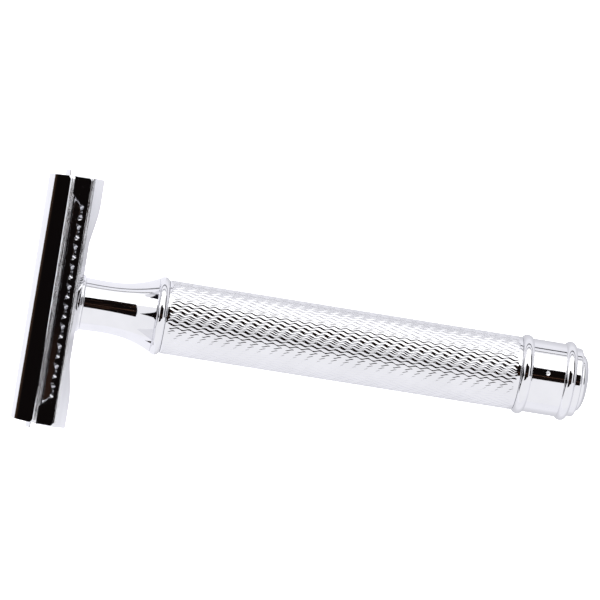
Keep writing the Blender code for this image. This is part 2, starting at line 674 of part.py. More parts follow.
def lay_down(root, pieces):
    """Tip the razor so that lip and bead are level, stand it on z = 0 and centre its box."""
    (lip_x, lip_r), (bead_x, bead_r) = LIP_CONTACT, BEAD_CONTACT
    tilt = math.atan2(lip_r - bead_r, bead_x - lip_x)
    root.rotation_euler = (0.0, tilt, 0.0)
    turn = Matrix.Rotation(tilt, 3, "Y")
    points = [turn @ vert.co for piece in pieces for vert in piece.data.vertices]
    low = Vector(min(p[i] for p in points) for i in range(3))
    high = Vector(max(p[i] for p in points) for i in range(3))
    root.location = (-0.5 * (low.x + high.x), -0.5 * (low.y + high.y), -low.z)


def build():
    clear_scene()
    root = empty("razor")
    handle = empty("handle_group", root)
    head = empty("head_group", root)
    cap_unit = empty("cap_group", root)
    pieces = [
        make_cap(cap_unit), make_stud(cap_unit),
        make_post("cap_post_a", 1, cap_unit), make_post("cap_post_b", -1, cap_unit),
        make_blade(head), make_base_plate(head),
        make_neck(handle), make_grip(handle), make_sleeve(handle), make_button(handle),
    ]
    lay_down(root, pieces)


build()
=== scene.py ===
"""Looks for the three-piece safety razor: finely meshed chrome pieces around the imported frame,
their materials, and a white table-top studio seen from straight above.

Pieces are drawn in the razor's own frame in millimetres: x along the handle from the cap's crown,
y along the blade, z across the head. The record's head joint says where that frame lies.
"""

import json
import math

import bmesh
import bpy
import numpy as np
from mathutils import Matrix, Vector


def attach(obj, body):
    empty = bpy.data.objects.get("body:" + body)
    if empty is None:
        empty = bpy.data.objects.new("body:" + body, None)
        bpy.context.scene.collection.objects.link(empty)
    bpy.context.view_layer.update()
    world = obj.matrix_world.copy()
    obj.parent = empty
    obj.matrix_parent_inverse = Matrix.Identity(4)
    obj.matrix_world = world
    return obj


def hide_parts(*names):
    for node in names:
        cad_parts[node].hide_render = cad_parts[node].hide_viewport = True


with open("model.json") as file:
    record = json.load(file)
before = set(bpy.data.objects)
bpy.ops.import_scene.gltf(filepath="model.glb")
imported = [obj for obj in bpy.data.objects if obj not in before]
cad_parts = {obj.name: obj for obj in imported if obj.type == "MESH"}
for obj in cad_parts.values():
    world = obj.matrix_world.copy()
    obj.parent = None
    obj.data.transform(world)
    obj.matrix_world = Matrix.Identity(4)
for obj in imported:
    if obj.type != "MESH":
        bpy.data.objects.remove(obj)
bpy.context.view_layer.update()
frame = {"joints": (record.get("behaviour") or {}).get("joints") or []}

MM = 0.001                      # a millimetre, in metres
GAP = 0.02                      # left between neighbouring pieces

# Cap
CAP_LENGTH = 40.9
CAP_HALF_WIDTH = 10.3
CAP_FOOT_HALF_WIDTH = 10.45
CAP_RIM_X = 3.62
CAP_CORNER_R = 0.6
DOME_REACH = 10.9
RIM_INSET = 0.16                # the rim starts this far inside the dome's full width

# Blade
BLADE_LENGTH = 43.0
BLADE_HALF_WIDTH = 10.95
BLADE_THICKNESS = 0.10
BLADE_EDGE_LENGTH = 37.2
BLADE_TAB_HALF_WIDTH = 6.4
BLADE_CROWN_X = 2.65
BLADE_ARCH = 1.87
BEVEL_WIDTH = 0.45
BLADE_SLOT_HALF_WIDTH = 0.85
BLADE_SLOT_LENGTH = 33.0
BLADE_STUD_HOLE_R = 2.75
BLADE_LOBE_R = 1.80
BLADE_CORNER_R = 0.4
BLADE_SLOT_CORNER_R = 0.8
BLADE_TAB_CHAMFER = 0.3
BEVEL_TAPER = 0.8               # share of the thickness that the bevel takes away at the edge
BEND_STEP = 0.35                # width of the strips that bend the flat sheet
BEND_STRIPS = 30                # on each side of the middle

# Base plate
PLATE_LENGTH = 41.1
PLATE_HALF_WIDTH = 13.0
PLATE_CORNER_R = 0.4
SEAT_EDGE_Z = 9.7
SEAT_WALL_SLOPE = 0.06
CHANNEL_FLOOR_X = 6.0
LIP_INNER_Z = 11.15
BLOCK_TOP_X = 4.10
BLOCK_TOP_Z = 11.42
BLOCK_GAP_HALF = 17.6
GUARD_TOP_X = 5.50
GUARD_FACE_END_X = 6.78
GUARD_FACE_END_Z = 12.96
LIP_R = 0.28
LIP_CHAMFER_DEG = 38.0
LIP_CHAMFER_END_X = 7.45
LIP_FOOT_X = 8.05
LIP_FOOT_Z = 11.75
HOLLOW_END_Z = 5.8
TROUGH_X = 6.50
END_UNDERSIDE_X = 8.97
END_THICK_Y = 16.6
END_BLEND_Y = 7.5
END_BLEND_X = 7.9
END_BURIED_X = 7.0              # between the thick ends the hollow stops here
END_JOIN_Z = 12.6
END_SIDE_Z = (10.3, 10.9, 12.9)
END_SIDE_X = (9.3, 8.72, 7.0)
NOTCH_COUNT = 10
NOTCH_PITCH = 3.28
NOTCH_R = 1.27
NOTCH_AXIS_INNER_X = 4.80
NOTCH_AXIS_OUTER_X = 5.45
NOTCH_FLARE = 0.5               # growth of the notch's radius from its inner to its outer end
UPPER_SEARCH_X = (2.0, 9.0)     # the plate's upper side lies between these
BISECTIONS = 26
FACE_FALL = 0.7                 # turns a height above the sloping face into about a distance
SEAT_BLEND = 0.16               # widths of the plate's smooth blends
WINDOW_BLEND = 0.22
WINDOW_RIM_BLEND = 0.14
NOTCH_START_BLEND = 0.1
NOTCH_RIM_BLEND = 0.22
END_SIDE_BLEND = 0.2
END_FOOT_BLEND = 0.1
CORNER_BLEND = 0.12
PLATE_UNDERSIDE_X = 8.10
PLATE_UNDERSIDE_Z = 5.2
BOSS_R = 4.80
BOSS_FOOT_R = 5.60
BOSS_END_X = 8.80
BOSS_ROOT_X = 7.6
BOSS_RING_X = 8.26
STUD_HOLE_R = 2.70
POST_HOLE_R = 1.10

# Stud, posts and thread
STUD_TIP_X = 16.4
STUD_SOCKET_X = 1.20
STUD_ROOT_R = 2.50
STUD_ROOT_LENGTH = 1.2          # plain part below the cap
STUD_POINT_LENGTH = 0.7
POST_R = 1.00
POST_Y = 12.75
POST_SOCKET_X = 1.70
POST_TIP_X = 8.60
PITCH = 0.80
STUD_MAJOR_R = 2.46
STUD_MINOR_R = 2.00
THREAD_PLAY = 0.09
THREAD_RINGS = 16               # rings in each turn
THREAD_HALF_ANGLE_DEG = 30
ROOT_FLAT = 0.20

# Handle
NECK_START_X = 8.82
NECK_END_R = 4.41
NECK_WAIST_X = 12.0
NECK_WAIST_R = 4.31
NECK_MOUTH_R = 2.9
NECK_SWELL = ((9.5, 0.072), (10.2, 0.045), (10.9, 0.022), (11.5, 0.006))   # (x, added to the waist)
FLARE_END_X = 20.88
FLARE_END_R = 6.20
FLARE_POWER = 2.5
COLLAR_END_X = 22.62
COLLAR_PEAK_R = 6.56
THREAD_BORE_END_X = 18.4
GRIP_R = 6.15
GRIP_BORE_R = 5.25
SPIGOT_R = 5.23
SPIGOT_LENGTH = 8.0
NECK_CORE_R = 3.6
NECK_CORE_END_X = 20.4
SLEEVE_CORE_R = 4.0
GRIP_END_X = 82.25
BEAD_A_END_X = 84.10
BEAD_A_PEAK_R = 6.67
BAND_R = 6.18
BEAD_B_X = 89.65
BEAD_B_END_X = 91.40
BEAD_B_PEAK_R = 6.65
BUTTON_R = 5.78
BUTTON_STEP_X = 92.65
BUTTON_BORE_R = 3.00
BUTTON_SPIGOT_LENGTH = 5.5
DOME_R = 4.80
DOME_POWER = 2.4
DOME_FLAT_R = 2.6
TOTAL_LENGTH = 94.0
BAND_RING = 0.09                # distance between the rings of the plain band

# Chased pattern of the grip
WAVE_ROWS = 64
WAVE_LENGTH = 2.0
WAVE_AMPLITUDE = 0.18
WAVE_DEPTH = 0.075
WAVE_SAMPLES = 7                # points across each chased row
WAVE_RINGS = 6.5                # rings in each wavelength
WAVE_LAND_START = 0.40          # plain length before and after the pattern
WAVE_LAND_END = 0.60
WAVE_FADE = 0.25                # length over which the pattern rises

# Round punch mark on the plain band
DOT_R = 0.34
DOT_TURN_DEG = 7.9
DOT_DEPTH = 0.16
DOT_LIP = 0.012                 # height of the raised lip
DOT_LIP_AT = 1.12               # its place and width, in dot radii
DOT_LIP_WIDTH = 0.14
DOT_OFF_MIDDLE = 0.15           # towards the head, from the middle of the band

SEGMENTS = 320

# Metal: noise scales, and depths of relief in metres
CLOUD_SCALE = 220.0
CLOUD_DEPTH = 0.0004
LINE_SCALE = 1500.0
SCRATCH_SCALE = 7000.0
SCRATCH_DEPTH = 0.0001

# Studio, in metres
TABLE_REACH = 6.0
TABLE_Z = -0.0001               # the sheet that the camera sees
TABLE_LINE_Z = -0.0002          # the dark line that only reflections see
TABLE_GLOW_Z = -0.0003          # the sheets that only reflections see
CEILING_Z = 0.60
NEAR_BLACK = (0.004, 0.003, 0.003)
BOARD_STRETCH = 2.5
BOARD_SCALE = 5.0
WALL_RIGHT_X = 0.70
WALL_RIGHT_Y = (-0.02, 0.90)
WALL_RIGHT_Z = (0.10, 0.45)
WALL_BACK_Y = 0.9
WALL_BACK_REACH = 0.8
HEAD_END_X = -0.025             # the table looks brighter in reflections left of this, where the painted shadow under the handle stops
FLAG_NEAR = 0.01375             # dark flag at the left: where it starts, left of the crown
FLAG_SPAN = 0.30
FLAG_TOP = 0.33
FLAG_Y = (-0.055, 0.055)
FLAG_TIP = (-0.30, -0.03, 0.52)
FLAG_SLANT = 0.1125             # how much further left the flag starts, per metre towards the back
KEY_PLACE = (0.1, 0.3, 1.2)
KEY_SIZE = 1.5
KEY_ENERGY = 12.0
CAMERA_PLACE = (-0.0026, 0.0063, 0.7427)
CAMERA_LENS = 264.0             # lens and sensor width are in millimetres
CAMERA_SENSOR = 36.0
CAMERA_ROLL_DEG = 9.15


# ---------------------------------------------------------------- the razor's own frame

def razor_matrix():
    """Turns local millimetres into world metres, from the head joint's place and axis."""
    joint = next(j for j in frame["joints"] if j["name"] == "head_turn")
    ex = -Vector(joint["axis"]).normalized()
    ey = Vector((0.0, 1.0, 0.0))
    ez = ex.cross(ey)
    turn = Matrix((ex, ey, ez)).transposed().to_4x4()
    return Matrix.Translation(joint["pos_m"]) @ turn @ Matrix.Scale(MM, 4)


TO_WORLD = razor_matrix()


# ---------------------------------------------------------------- meshes

def mesh_object(name, verts, faces):
    """A linked object from plain lists."""
    mesh = bpy.data.meshes.new(name)
    mesh.from_pydata([tuple(v) for v in verts], [], faces)
    obj = bpy.data.objects.new(name, mesh)
    bpy.context.scene.collection.objects.link(obj)
    return obj


def grid_object(name, grid, closed=True):
    """A tube of rings. grid is rings x points x 3. With closed the ends get flat n-gons,
    otherwise the last ring joins the first."""
    rings, count = grid.shape[:2]
    k = np.arange(count)
    j = (k + 1) % count
    faces = []
    last = rings - 1 if closed else rings
    for i in range(last):
        a, b = i * count, ((i + 1) % rings) * count
        faces += np.stack([a + k, a + j, b + j, b + k], 1).tolist()
    if closed:
        faces.append(list(range(count)))
        faces.append([last * count + int(m) for m in k[::-1]])
    return mesh_object(name, grid.reshape(-1, 3), faces)


def settle(obj, sharp_deg=50.0):
    """Turn the faces outwards, drop doubles, shade smooth and move the mesh into the world."""
    bm = bmesh.new()
    bm.from_mesh(obj.data)
    bmesh.ops.remove_doubles(bm, verts=bm.verts, dist=0.0005)
    bmesh.ops.dissolve_degenerate(bm, edges=bm.edges, dist=0.0002)
    bmesh.ops.recalc_face_normals(bm, faces=bm.faces)
    bm.to_mesh(obj.data)
    bm.free()
    obj.data.transform(TO_WORLD)
    obj.data.shade_smooth()
    obj.data.set_sharp_from_angle(angle=math.radians(sharp_deg))
    obj.data.update()
    return obj


def fit_out(obj, mat, body, node):
    """Give a finished piece its material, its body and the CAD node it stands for."""
    obj.data.materials.clear()
    obj.data.materials.append(mat)
    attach(obj, body)
    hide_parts(node)
    return obj


def combine(target, tool, operation):
    """Boolean that uses the tool up."""
    mod = target.modifiers.new("combine", "BOOLEAN")
    mod.operation = operation
    mod.solver = "EXACT"
    mod.object = tool
    graph = bpy.context.evaluated_depsgraph_get()
    result = bpy.data.meshes.new_from_object(target.evaluated_get(graph))
    target.modifiers.clear()
    target.data = result
    bpy.data.objects.remove(tool, do_unlink=True)
    return target


def supported(outline, near=0.04):
    """Adds points close to both ends of each long straight run, so that smooth shading stays
    flat on it and turns only at its corners."""
    points = [outline[0]]
    for (x0, r0), (x1, r1) in zip(outline, outline[1:]):
        length = math.hypot(x1 - x0, r1 - r0)
        if length > 6 * near:
            for part in (near / length, 1 - near / length):
                points.append((x0 + part * (x1 - x0), r0 + part * (r1 - r0)))
        points.append((x1, r1))
    return points


def lathe(name, outline, segments=SEGMENTS, y=0.0, radius=None):
    """Spin (x, r) points round the axis. Outlines start and end at r = 0, or close on
    themselves. radius(x, r, angles) may change the radii."""
    ring = outline[0][1] > 0.0
    angles = 2 * math.pi * np.arange(segments) / segments
    rows = []
    for x, r in outline:
        rr = np.full(segments, max(r, 0.0))
        if radius is not None and r > 0.0:
            rr = radius(x, rr, angles)
        rows.append(np.stack([np.full(segments, x), y + rr * np.cos(angles), rr * np.sin(angles)], 1))
    return grid_object(name, np.array(rows), closed=not ring)


def arc(u0, u1, foot, peak, steps=28):
    """Circular arc from (u0, foot) over its middle, which lies at peak, to (u1, foot)."""
    half, rise = 0.5 * (u1 - u0), peak - foot
    radius = (half * half + rise * rise) / (2 * rise)
    reach = math.asin(half / radius)
    points = []
    for k in range(steps + 1):
        angle = reach * (2.0 * k / steps - 1.0)
        points.append((u0 + half + radius * math.sin(angle), peak - radius * (1 - math.cos(angle))))
    return points


def corner(x, r, edge, start, steps=6):
    """Quarter round about (x, r); start is the angle, in degrees, of its first point."""
    points = []
    for k in range(steps + 1):
        angle = math.radians(start - 90.0 * k / steps)
        points.append((x + edge * math.cos(angle), r + edge * math.sin(angle)))
    return points


def rod(x0, x1, r, y=0.0, segments=64):
    return lathe("rod", [(x0, 0.0), (x0, r), (x1, r), (x1, 0.0)], segments, y)


def smin(a, b, k):
    """Smaller of two values, blended where they differ by less than k."""
    h = np.clip(0.5 + 0.5 * (b - a) / k, 0.0, 1.0)
    return b * (1 - h) + a * h - k * h * (1 - h)


def smax(a, b, k):
    """Larger of two values, blended in the same way."""
    return -smin(-a, -b, k)


def arch_x(z):
    """Top face of the bent blade."""
    return BLADE_CROWN_X + BLADE_ARCH * (z / DOME_REACH) ** 2


def spread(*spans):
    """Sorted values from (start, end, step) spans."""
    values = []
    for start, end, step in spans:
        count = max(1, round((end - start) / step))
        values += [start + (end - start) * k / count for k in range(count + 1)]
    return np.unique(np.round(values, 5))


def both_ways(values):
    """Values and their mirror images about 0, in order."""
    return np.unique(np.concatenate([-values, values]))


def mark(obj, name, rule):
    """Stores rule(x, y, z) on the vertices of a settled piece, in local millimetres."""
    flat = np.empty(3 * len(obj.data.vertices))
    obj.data.vertices.foreach_get("co", flat)
    inverse = np.array(TO_WORLD.inverted())
    local = flat.reshape(-1, 3) @ inverse[:3, :3].T + inverse[:3, 3]
    values = rule(local[:, 0], local[:, 1], local[:, 2])
    attribute = obj.data.attributes.new(name, "FLOAT", "POINT")
    attribute.data.foreach_set("value", values.astype(np.float32))


def plan_reach(y, half_y, half_z, radius):
    """Half width in z of a rounded rectangle at y."""
    inside = np.clip(np.abs(y) - (half_y - radius), 0.0, radius)
    return half_z - radius + np.sqrt(radius ** 2 - inside ** 2)


def shrink(ring, amount):
    """Moves a closed (x, z) ring inwards by amount along its own normals."""
    ahead, behind = np.roll(ring, -1, 0), np.roll(ring, 1, 0)
    tangent = ahead - behind
    length = np.maximum(np.linalg.norm(tangent, axis=1, keepdims=True), 1e-9)
    normal = np.stack([-tangent[:, 1], tangent[:, 0]], 1) / length
    area = np.sum(ring[:, 0] * ahead[:, 1] - ahead[:, 0] * ring[:, 1])
    return ring + normal * amount * (1.0 if area > 0 else -1.0)


def rounded_ends(rings, ys, half_y, edge, steps=5):
    """Adds shrunken rings at both ends, so that the end faces have round edges."""
    done_rings, done_ys = list(rings), list(ys)
    for end in (0, 1):
        extra_r, extra_y = [], []
        base = done_rings[-1] if end else done_rings[0]
        for k in range(1, steps + 1):
            angle = 0.5 * math.pi * k / steps
            extra_r.append(shrink(base, edge * (1 - math.cos(angle))))
            extra_y.append((half_y - edge + edge * math.sin(angle)) * (1 if end else -1))
        if end:
            done_rings, done_ys = done_rings + extra_r, done_ys + extra_y
        else:
            done_rings, done_ys = extra_r[::-1] + done_rings, extra_y[::-1] + done_ys
    return done_rings, done_ys


def loft(name, rings, ys):
    """A body from closed (x, z) rings at the given y."""
    grid = [np.stack([ring[:, 0], np.full(len(ring), y), ring[:, 1]], 1) for ring, y in zip(rings, ys)]
    return grid_object(name, np.array(grid))


# ---------------------------------------------------------------- cap

def make_cap(mat):
    edge = 0.13
    height = CAP_RIM_X / (1 - math.sqrt(1 - (CAP_HALF_WIDTH / DOME_REACH) ** 2))
    half_y = 0.5 * CAP_LENGTH
    ys = both_ways(spread((0, half_y - CAP_CORNER_R, 1.6), (half_y - CAP_CORNER_R, half_y - edge, 0.07)))
    rings = []
    for y in ys:
        half_z = float(plan_reach(y, half_y, CAP_HALF_WIDTH, CAP_CORNER_R))
        rings.append(cap_ring(half_z, height, edge))
    rings, ys = rounded_ends(rings, ys, half_y, edge)
    cap = loft("cap_shell", rings, ys)
    combine(cap, rod(STUD_SOCKET_X - GAP, 5.0, STUD_ROOT_R + GAP), "DIFFERENCE")
    for side in (1, -1):
        combine(cap, rod(POST_SOCKET_X - GAP, 5.0, POST_R + GAP, side * POST_Y), "DIFFERENCE")
    settle(cap)
    mark(cap, "brushed", lambda x, y, z: (x > CAP_RIM_X + 0.04) & (np.abs(z) > CAP_HALF_WIDTH - RIM_INSET))
    return fit_out(cap, mat, "cap_unit", "cap")


def cap_ring(half_z, height, edge, steps=72):
    """Closed (x, z) outline of the cap: dome, rim that widens to its foot, arched underside."""
    foot_z = half_z + CAP_FOOT_HALF_WIDTH - CAP_HALF_WIDTH
    start_z = half_z - RIM_INSET
    dome = []
    for k in range(-steps, steps + 1):
        z = (start_z - 0.02) * math.sin(0.5 * math.pi * k / steps)
        dome.append((height * (1 - math.sqrt(1 - (z / DOME_REACH) ** 2)), z))
    rim_x, foot_x = dome[-1][0], arch_x(foot_z) - GAP
    side = [(rim_x + part * (foot_x - rim_x), start_z + part * (foot_z - start_z))
            for part in (0.05, 0.12, 0.2, 0.3, 0.4, 0.5, 0.6, 0.7, 0.8, 0.9)]
    side += [(foot_x - 0.25 * edge, foot_z - 0.15 * edge), (foot_x, foot_z - 0.5 * edge)]
    reach = foot_z - 1.2 * edge
    under = [(arch_x(z) - GAP, z) for z in np.linspace(reach, -reach, 2 * steps)]
    return np.array(dome + side + under + [(x, -z) for x, z in side[::-1]])


# ---------------------------------------------------------------- stud and posts

def thread_radius(x, angles, major, minor):
    """Radius of the M5 thread at x, for every angle."""
    turn = np.mod((x - BLADE_CROWN_X) / PITCH - angles / (2 * math.pi), 1.0) * PITCH
    rise = (major - minor) * math.tan(math.radians(THREAD_HALF_ANGLE_DEG))
    up = np.clip((turn - ROOT_FLAT) / rise, 0.0, 1.0)
    down = np.clip((PITCH - turn) / rise, 0.0, 1.0)
    return minor + (major - minor) * np.minimum(up, down)


def make_stud(mat):
    root_end = arch_x(0) + STUD_ROOT_LENGTH
    body_end = STUD_TIP_X - STUD_POINT_LENGTH
    xs = np.arange(root_end + 0.05, body_end, PITCH / THREAD_RINGS)
    outline = [(STUD_SOCKET_X, 0.0), (STUD_SOCKET_X, STUD_ROOT_R - 0.1), (STUD_SOCKET_X + 0.1, STUD_ROOT_R)]
    outline += [(root_end - 0.1, STUD_ROOT_R), (root_end, STUD_ROOT_R - 0.08)]
    outline += [(float(x), STUD_MINOR_R) for x in xs]
    tip_r = STUD_MINOR_R - 0.2
    outline += [(body_end + 0.35, STUD_MINOR_R - 0.02), (STUD_TIP_X - 0.08, tip_r)]
    outline += [(STUD_TIP_X, tip_r - 0.1), (STUD_TIP_X, 0.0)]

    def radius(x, base, angles):
        if x <= root_end or x >= body_end:
            return base
        fade = min(1.0, (body_end - x) / PITCH)
        return STUD_MINOR_R + (thread_radius(x, angles, STUD_MAJOR_R, STUD_MINOR_R) - STUD_MINOR_R) * fade

    stud = lathe("stud_screw", outline, 96, radius=radius)
    settle(stud, 70)
    return fit_out(stud, mat, "cap_unit", "cap_stud")


def make_post(name, node, side, mat):
    outline = [(POST_SOCKET_X, 0.0), (POST_SOCKET_X, POST_R)]
    outline += [(POST_TIP_X - 0.32, POST_R), (POST_TIP_X - 0.26, POST_R - 0.02)]
    outline += [(POST_TIP_X - 0.04, POST_R - 0.26), (POST_TIP_X, POST_R - 0.34), (POST_TIP_X, 0.0)]
    post = lathe(name, supported(outline, 0.03), 64, side * POST_Y)
    settle(post)
    return fit_out(post, mat, "cap_unit", node)


# ---------------------------------------------------------------- blade

def rounded_box(half_u, half_v, radius, steps=10):
    """Outline of a rectangle with round corners."""
    points = []
    for su, sv, start in ((1, 1, 0), (-1, 1, 90), (-1, -1, 180), (1, -1, 270)):
        for k in range(steps + 1):
            angle = math.radians(start + 90.0 * k / steps)
            points.append((su * (half_u - radius) + radius * math.cos(angle),
                           sv * (half_v - radius) + radius * math.sin(angle)))
    return points


def slab(outline, x0, x1):
    """A flat plate between x0 and x1 whose outline is in (y, z)."""
    grid = [[(x, y, z) for y, z in outline] for x in (x0, x1)]
    return grid_object("slab", np.array(grid))


def make_blade(mat):
    """Cut flat, then bent to the arch between cap and seat."""
    blade = slab(rounded_box(0.5 * BLADE_LENGTH, BLADE_HALF_WIDTH, BLADE_CORNER_R), 0.0, BLADE_THICKNESS)
    blade.name = "blade_sheet"
    tab_y, tab_z = 0.5 * BLADE_EDGE_LENGTH, BLADE_TAB_HALF_WIDTH
    past_y, past_z = 22, 12     # beyond the sheet
    for sy in (1, -1):
        for sz in (1, -1):
            notch = [(sy * tab_y, sz * past_z), (sy * tab_y, sz * (tab_z + BLADE_TAB_CHAMFER)),
                     (sy * (tab_y + BLADE_TAB_CHAMFER), sz * tab_z),
                     (sy * past_y, sz * tab_z), (sy * past_y, sz * past_z)]
            combine(blade, slab(notch, -1.0, 1.0), "DIFFERENCE")
        combine(blade, rod(-1.0, 1.0, BLADE_LOBE_R, sy * POST_Y), "DIFFERENCE")
    slot = rounded_box(0.5 * BLADE_SLOT_LENGTH, BLADE_SLOT_HALF_WIDTH, BLADE_SLOT_CORNER_R)
    combine(blade, slab(slot, -1.0, 1.0), "DIFFERENCE")
    combine(blade, rod(-1.0, 1.0, BLADE_STUD_HOLE_R), "DIFFERENCE")
    bm = bmesh.new()
    bm.from_mesh(blade.data)
    bevel_z = BLADE_HALF_WIDTH - BEVEL_WIDTH
    strips = [BEND_STEP * k for k in range(-BEND_STRIPS, BEND_STRIPS + 1)]
    for z in strips + [bevel_z, -bevel_z, bevel_z + 0.2, -bevel_z - 0.2]:
        bmesh.ops.bisect_plane(bm, geom=bm.verts[:] + bm.edges[:] + bm.faces[:], dist=1e-5,
                               plane_co=(0, 0, z), plane_no=(0, 0, 1))
    bmesh.ops.triangulate(bm, faces=bm.faces[:])
    middle = 0.5 * BLADE_THICKNESS
    for vert in bm.verts:
        thin = max(0.0, (abs(vert.co.z) - bevel_z) / BEVEL_WIDTH) * BEVEL_TAPER
        vert.co.x = middle + (vert.co.x - middle) * (1.0 - thin) + arch_x(vert.co.z)
    bm.to_mesh(blade.data)
    bm.free()
    settle(blade, 30)
    return fit_out(blade, mat, "blade_unit", "blade")


# ---------------------------------------------------------------- base plate

def seat_x(z):
    """Upper side of the uncut plate: arched seat, corner block top, sloping outer face."""
    seat = arch_x(z) + BLADE_THICKNESS + GAP
    step = np.clip((z - LIP_INNER_Z + 0.06) / 0.12, 0.0, 1.0)
    step = step * step * (3 - 2 * step)
    top = seat * (1 - step) + BLOCK_TOP_X * step
    slope = (GUARD_FACE_END_X - BLOCK_TOP_X) / (GUARD_FACE_END_Z - BLOCK_TOP_Z)
    face = BLOCK_TOP_X + (z - BLOCK_TOP_Z) * slope
    return smax(top, face, SEAT_BLEND)


def upper_x(y, z):
    """Upper side of the plate with the lather windows and guard notches cut in it, by bisection
    on a smooth blend of distances. y is a number, z an array of sizes."""
    top = seat_x(z)
    low, high = (np.full(z.shape, x) for x in UPPER_SEARCH_X)
    first = -0.5 * (NOTCH_COUNT - 1) * NOTCH_PITCH
    nearest = first + NOTCH_PITCH * np.clip(round((y - first) / NOTCH_PITCH), 0, NOTCH_COUNT - 1)
    dy = abs(y - nearest)
    run = PLATE_HALF_WIDTH - LIP_INNER_Z
    axis_x = NOTCH_AXIS_INNER_X + (NOTCH_AXIS_OUTER_X - NOTCH_AXIS_INNER_X) * (z - LIP_INNER_Z) / run
    bar = np.clip((z - LIP_INNER_Z + 0.1) / 0.2, 0.0, 1.0)
    floor = CHANNEL_FLOOR_X + (GUARD_TOP_X - CHANNEL_FLOOR_X) * bar * bar * (3 - 2 * bar)
    for _ in range(BISECTIONS):
        x = 0.5 * (low + high)
        solid = (x - top) * FACE_FALL
        wall = SEAT_EDGE_Z + SEAT_WALL_SLOPE * (x - BLOCK_TOP_X) - z
        end = (abs(y) - (BLOCK_GAP_HALF + BLOCK_TOP_X - x)) / math.sqrt(2)
        window = smax(smax(wall, x - floor, WINDOW_BLEND), end, WINDOW_BLEND)
        solid = smin(solid, window, WINDOW_RIM_BLEND)
        behind = (LIP_INNER_Z - 0.3) - z
        radius = NOTCH_R + NOTCH_FLARE * ((z - LIP_INNER_Z) / run - 0.5)
        notch = smax(np.hypot(x - axis_x, dy) - radius, behind, NOTCH_START_BLEND)
        solid = smin(solid, notch, NOTCH_RIM_BLEND)
        inside = solid > 0
        high = np.where(inside, x, high)
        low = np.where(inside, low, x)
    return 0.5 * (low + high)


def lower_outline():
    """(x, z) from the end of the guard's face round the lip and through the hollow to the middle."""
    face = math.atan2(GUARD_FACE_END_Z - BLOCK_TOP_Z, GUARD_FACE_END_X - BLOCK_TOP_X)
    chamfer = math.radians(LIP_CHAMFER_DEG)
    centre_x = GUARD_FACE_END_X + LIP_R * math.sin(face)
    centre_z = GUARD_FACE_END_Z - LIP_R * math.cos(face)
    points = [(centre_x + LIP_R * math.sin(a), centre_z + LIP_R * math.cos(a))
              for a in np.linspace(-face, chamfer, 12)]
    x, z = points[-1]
    corner_z = z - (LIP_CHAMFER_END_X - x) * math.tan(chamfer)
    back = supported([(x, z), (LIP_CHAMFER_END_X, corner_z), (LIP_FOOT_X, LIP_FOOT_Z)], 0.05)
    hollow = [(x, z) for z, x in arc(LIP_FOOT_Z, HOLLOW_END_Z, LIP_FOOT_X, TROUGH_X, 48)]
    flat = [(PLATE_UNDERSIDE_X, PLATE_UNDERSIDE_Z * k / 6) for k in range(6, 0, -1)]
    return np.array(points + back[1:-1] + hollow + flat)


def end_x(y, z):
    """Underside of the thickened ends at (y, z)."""
    part = max(0.0, (END_THICK_Y - abs(y)) / (END_THICK_Y - END_BLEND_Y))
    deep = END_UNDERSIDE_X - (0.5 - 0.5 * math.cos(math.pi * part)) * (END_UNDERSIDE_X - END_BLEND_X)
    if part > 1.0:
        deep = END_BURIED_X
    lean = np.interp(z, END_SIDE_Z, END_SIDE_X)
    return smin(np.full(z.shape, deep), lean, END_SIDE_BLEND)


def make_base_plate(mat):
    edge = 0.16
    half_y = 0.5 * PLATE_LENGTH
    ys = plate_stations(half_y, edge)
    z_top = spread((0, 9.4, 0.8), (9.4, 9.66, 0.06), (9.66, 9.86, 0.012), (9.86, 10.8, 0.12),
                   (10.8, 11.6, 0.04), (11.6, GUARD_FACE_END_Z, 0.075))
    outline = lower_outline()
    low_z = outline[:, 1]
    rings = []
    for y in ys:
        top = np.stack([upper_x(float(y), z_top), z_top], 1)
        thick = smax(outline[:, 0], end_x(float(y), low_z), END_FOOT_BLEND)
        low = np.stack([np.where(low_z < END_JOIN_Z, thick, outline[:, 0]), low_z], 1)
        half = np.concatenate([top, low[1:]])
        reach = plan_reach(y, half_y, PLATE_HALF_WIDTH, PLATE_CORNER_R)
        if reach < PLATE_HALF_WIDTH - 1e-6:
            half[:, 1] = smin(half[:, 1], np.full(len(half), reach), CORNER_BLEND)
        middle = np.array([[half[-1, 0], 0.0]])
        other = half[1:][::-1] * np.array([1.0, -1.0])
        rings.append(np.concatenate([half, middle, other]))
    rings, ys = rounded_ends(rings, ys, half_y, edge)
    plate = loft("base_plate_body", rings, ys)
    outline = [(BOSS_ROOT_X, 0.0), (BOSS_ROOT_X, BOSS_FOOT_R + 0.1), (PLATE_UNDERSIDE_X, BOSS_FOOT_R)]
    outline += [(PLATE_UNDERSIDE_X + 0.03, BOSS_R + 0.4), (PLATE_UNDERSIDE_X + 0.10, BOSS_R + 0.05)]
    outline += arc(BOSS_RING_X, BOSS_END_X, BOSS_R - 0.15, BOSS_R, 16) + [(BOSS_END_X, 0.0)]
    boss = lathe("boss", outline, 128)
    combine(plate, boss, "UNION")
    combine(plate, rod(0.0, 12.0, STUD_HOLE_R, 0.0, 96), "DIFFERENCE")
    for side in (1, -1):
        combine(plate, rod(0.0, 12.0, POST_HOLE_R, side * POST_Y), "DIFFERENCE")
    settle(plate, 55)
    mark(plate, "brushed", lambda x, y, z: (x > GUARD_FACE_END_X + 0.03) & (x < LIP_CHAMFER_END_X - 0.02)
         & (np.abs(z) > LIP_FOOT_Z + 0.4))
    return fit_out(plate, mat, "head", "base_plate")


